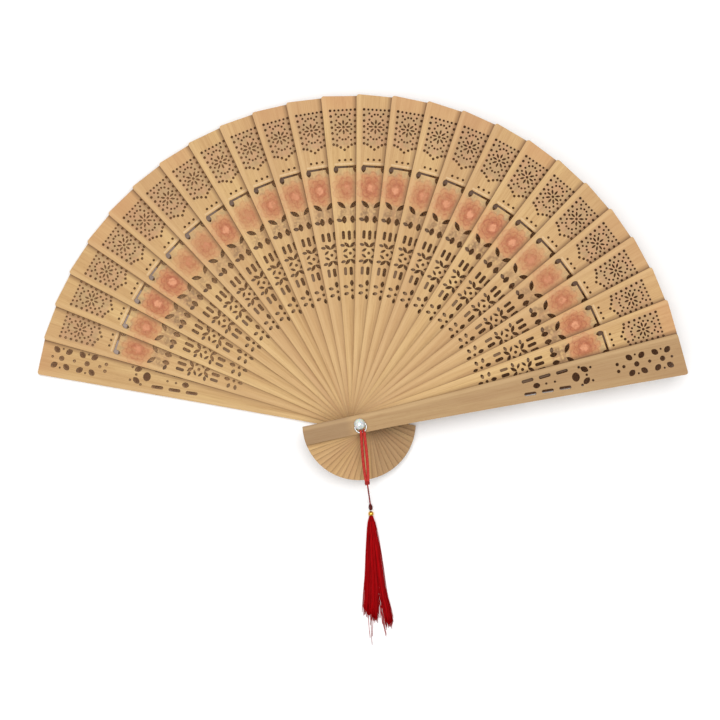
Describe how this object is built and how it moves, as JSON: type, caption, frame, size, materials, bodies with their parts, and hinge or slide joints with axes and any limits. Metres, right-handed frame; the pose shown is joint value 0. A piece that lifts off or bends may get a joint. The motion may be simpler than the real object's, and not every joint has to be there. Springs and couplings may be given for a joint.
{
  "type": "folding hand fan",
  "caption": "Brise folding hand fan of pierced wooden leaves between two guards on one pin, tied by a ribbon, with a red tassel on a cord.",
  "frame": {"origin": "on the pin's axis, at the back face of the back guard, which lies on the table", "axes": "+Z along the pin's axis towards the front guard, +Y along the middle of the open fan, +X to the right seen from the front"},
  "size_m": [0.3329, 0.2723, 0.0271],
  "materials": {
    "guard_wood": "sanded, unvarnished",
    "leaf_wood": "sanded, unvarnished, painted flower",
    "ribbon": "satin",
    "pin_metal": "satin",
    "cap_plastic": "translucent gloss",
    "cord": "twisted silk",
    "knot": "bound thread",
    "bead_metal": "polished",
    "tassel": "loose silk threads"
  },
  "bodies": {
    "back_guard": {"back_guard": "guard_wood", "pivot_pin": "pin_metal", "pivot_cap": "cap_plastic"},
    "leaf_01": {"leaf_01": "leaf_wood", "ribbon_01": "ribbon"},
    "leaf_02": {"leaf_02": "leaf_wood", "ribbon_02": "ribbon"},
    "leaf_03": {"leaf_03": "leaf_wood", "ribbon_03": "ribbon"},
    "leaf_04": {"leaf_04": "leaf_wood", "ribbon_04": "ribbon"},
    "leaf_05": {"leaf_05": "leaf_wood", "ribbon_05": "ribbon"},
    "leaf_06": {"leaf_06": "leaf_wood", "ribbon_06": "ribbon"},
    "leaf_07": {"leaf_07": "leaf_wood", "ribbon_07": "ribbon"},
    "leaf_08": {"leaf_08": "leaf_wood", "ribbon_08": "ribbon"},
    "leaf_09": {"leaf_09": "leaf_wood", "ribbon_09": "ribbon"},
    "leaf_10": {"leaf_10": "leaf_wood", "ribbon_10": "ribbon"},
    "leaf_11": {"leaf_11": "leaf_wood", "ribbon_11": "ribbon"},
    "leaf_12": {"leaf_12": "leaf_wood", "ribbon_12": "ribbon"},
    "leaf_13": {"leaf_13": "leaf_wood", "ribbon_13": "ribbon"},
    "leaf_14": {"leaf_14": "leaf_wood", "ribbon_14": "ribbon"},
    "leaf_15": {"leaf_15": "leaf_wood", "ribbon_15": "ribbon"},
    "leaf_16": {"leaf_16": "leaf_wood", "ribbon_16": "ribbon"},
    "leaf_17": {"leaf_17": "leaf_wood", "ribbon_17": "ribbon"},
    "leaf_18": {"leaf_18": "leaf_wood", "ribbon_18": "ribbon"},
    "leaf_19": {"leaf_19": "leaf_wood", "ribbon_19": "ribbon"},
    "leaf_20": {"leaf_20": "leaf_wood", "ribbon_20": "ribbon"},
    "leaf_21": {"leaf_21": "leaf_wood", "ribbon_21": "ribbon"},
    "leaf_22": {"leaf_22": "leaf_wood", "ribbon_22": "ribbon"},
    "leaf_23": {"leaf_23": "leaf_wood", "ribbon_23": "ribbon"},
    "leaf_24": {"leaf_24": "leaf_wood", "ribbon_24": "ribbon"},
    "front_guard": {"front_guard": "guard_wood", "ribbon_25": "ribbon"},
    "cord": {"cord_ring": "pin_metal", "cord_loop": "cord", "cord_knot": "knot"},
    "tassel": {"tassel_bead": "bead_metal", "tassel_skirt": "tassel"}
  },
  "joints": [
    {"name": "fan_fold", "type": "hinge", "parent": "back_guard", "child": "front_guard", "pos_m": [0, 0, 0], "axis": [0, 0, 1], "range_deg": [0, 155.5]},
    {"name": "leaf_01_turn", "type": "hinge", "parent": "back_guard", "child": "leaf_01", "pos_m": [0, 0, 0], "axis": [0, 0, 1], "range_deg": [0, 6.22]},
    {"name": "leaf_02_turn", "type": "hinge", "parent": "back_guard", "child": "leaf_02", "pos_m": [0, 0, 0], "axis": [0, 0, 1], "range_deg": [0, 12.44]},
    {"name": "leaf_03_turn", "type": "hinge", "parent": "back_guard", "child": "leaf_03", "pos_m": [0, 0, 0], "axis": [0, 0, 1], "range_deg": [0, 18.66]},
    {"name": "leaf_04_turn", "type": "hinge", "parent": "back_guard", "child": "leaf_04", "pos_m": [0, 0, 0], "axis": [0, 0, 1], "range_deg": [0, 24.88]},
    {"name": "leaf_05_turn", "type": "hinge", "parent": "back_guard", "child": "leaf_05", "pos_m": [0, 0, 0], "axis": [0, 0, 1], "range_deg": [0, 31.1]},
    {"name": "leaf_06_turn", "type": "hinge", "parent": "back_guard", "child": "leaf_06", "pos_m": [0, 0, 0], "axis": [0, 0, 1], "range_deg": [0, 37.32]},
    {"name": "leaf_07_turn", "type": "hinge", "parent": "back_guard", "child": "leaf_07", "pos_m": [0, 0, 0], "axis": [0, 0, 1], "range_deg": [0, 43.54]},
    {"name": "leaf_08_turn", "type": "hinge", "parent": "back_guard", "child": "leaf_08", "pos_m": [0, 0, 0], "axis": [0, 0, 1], "range_deg": [0, 49.76]},
    {"name": "leaf_09_turn", "type": "hinge", "parent": "back_guard", "child": "leaf_09", "pos_m": [0, 0, 0], "axis": [0, 0, 1], "range_deg": [0, 55.98]},
    {"name": "leaf_10_turn", "type": "hinge", "parent": "back_guard", "child": "leaf_10", "pos_m": [0, 0, 0], "axis": [0, 0, 1], "range_deg": [0, 62.2]},
    {"name": "leaf_11_turn", "type": "hinge", "parent": "back_guard", "child": "leaf_11", "pos_m": [0, 0, 0], "axis": [0, 0, 1], "range_deg": [0, 68.42]},
    {"name": "leaf_12_turn", "type": "hinge", "parent": "back_guard", "child": "leaf_12", "pos_m": [0, 0, 0], "axis": [0, 0, 1], "range_deg": [0, 74.64]},
    {"name": "leaf_13_turn", "type": "hinge", "parent": "back_guard", "child": "leaf_13", "pos_m": [0, 0, 0], "axis": [0, 0, 1], "range_deg": [0, 80.86]},
    {"name": "leaf_14_turn", "type": "hinge", "parent": "back_guard", "child": "leaf_14", "pos_m": [0, 0, 0], "axis": [0, 0, 1], "range_deg": [0, 87.08]},
    {"name": "leaf_15_turn", "type": "hinge", "parent": "back_guard", "child": "leaf_15", "pos_m": [0, 0, 0], "axis": [0, 0, 1], "range_deg": [0, 93.3]},
    {"name": "leaf_16_turn", "type": "hinge", "parent": "back_guard", "child": "leaf_16", "pos_m": [0, 0, 0], "axis": [0, 0, 1], "range_deg": [0, 99.52]},
    {"name": "leaf_17_turn", "type": "hinge", "parent": "back_guard", "child": "leaf_17", "pos_m": [0, 0, 0], "axis": [0, 0, 1], "range_deg": [0, 105.74]},
    {"name": "leaf_18_turn", "type": "hinge", "parent": "back_guard", "child": "leaf_18", "pos_m": [0, 0, 0], "axis": [0, 0, 1], "range_deg": [0, 111.96]},
    {"name": "leaf_19_turn", "type": "hinge", "parent": "back_guard", "child": "leaf_19", "pos_m": [0, 0, 0], "axis": [0, 0, 1], "range_deg": [0, 118.18]},
    {"name": "leaf_20_turn", "type": "hinge", "parent": "back_guard", "child": "leaf_20", "pos_m": [0, 0, 0], "axis": [0, 0, 1], "range_deg": [0, 124.4]},
    {"name": "leaf_21_turn", "type": "hinge", "parent": "back_guard", "child": "leaf_21", "pos_m": [0, 0, 0], "axis": [0, 0, 1], "range_deg": [0, 130.62]},
    {"name": "leaf_22_turn", "type": "hinge", "parent": "back_guard", "child": "leaf_22", "pos_m": [0, 0, 0], "axis": [0, 0, 1], "range_deg": [0, 136.84]},
    {"name": "leaf_23_turn", "type": "hinge", "parent": "back_guard", "child": "leaf_23", "pos_m": [0, 0, 0], "axis": [0, 0, 1], "range_deg": [0, 143.06]},
    {"name": "leaf_24_turn", "type": "hinge", "parent": "back_guard", "child": "leaf_24", "pos_m": [0, 0, 0], "axis": [0, 0, 1], "range_deg": [0, 149.28]},
    {"name": "cord_swing", "type": "hinge", "parent": "back_guard", "child": "cord", "pos_m": [0, 0, 0], "axis": [0, 0, 1], "range_deg": [-60, 60]},
    {"name": "tassel_swing", "type": "hinge", "parent": "cord", "child": "tassel", "pos_m": [0.00583, -0.04427, 0.0016], "axis": [0, 0, 1], "range_deg": [-40, 40]}
  ],
  "couplings": [
    {"joint": "leaf_01_turn", "follows": "fan_fold", "ratio": 0.04},
    {"joint": "leaf_02_turn", "follows": "fan_fold", "ratio": 0.08},
    {"joint": "leaf_03_turn", "follows": "fan_fold", "ratio": 0.12},
    {"joint": "leaf_04_turn", "follows": "fan_fold", "ratio": 0.16},
    {"joint": "leaf_05_turn", "follows": "fan_fold", "ratio": 0.2},
    {"joint": "leaf_06_turn", "follows": "fan_fold", "ratio": 0.24},
    {"joint": "leaf_07_turn", "follows": "fan_fold", "ratio": 0.28},
    {"joint": "leaf_08_turn", "follows": "fan_fold", "ratio": 0.32},
    {"joint": "leaf_09_turn", "follows": "fan_fold", "ratio": 0.36},
    {"joint": "leaf_10_turn", "follows": "fan_fold", "ratio": 0.4},
    {"joint": "leaf_11_turn", "follows": "fan_fold", "ratio": 0.44},
    {"joint": "leaf_12_turn", "follows": "fan_fold", "ratio": 0.48},
    {"joint": "leaf_13_turn", "follows": "fan_fold", "ratio": 0.52},
    {"joint": "leaf_14_turn", "follows": "fan_fold", "ratio": 0.56},
    {"joint": "leaf_15_turn", "follows": "fan_fold", "ratio": 0.6},
    {"joint": "leaf_16_turn", "follows": "fan_fold", "ratio": 0.64},
    {"joint": "leaf_17_turn", "follows": "fan_fold", "ratio": 0.68},
    {"joint": "leaf_18_turn", "follows": "fan_fold", "ratio": 0.72},
    {"joint": "leaf_19_turn", "follows": "fan_fold", "ratio": 0.76},
    {"joint": "leaf_20_turn", "follows": "fan_fold", "ratio": 0.8},
    {"joint": "leaf_21_turn", "follows": "fan_fold", "ratio": 0.84},
    {"joint": "leaf_22_turn", "follows": "fan_fold", "ratio": 0.88},
    {"joint": "leaf_23_turn", "follows": "fan_fold", "ratio": 0.92},
    {"joint": "leaf_24_turn", "follows": "fan_fold", "ratio": 0.96}
  ]
}
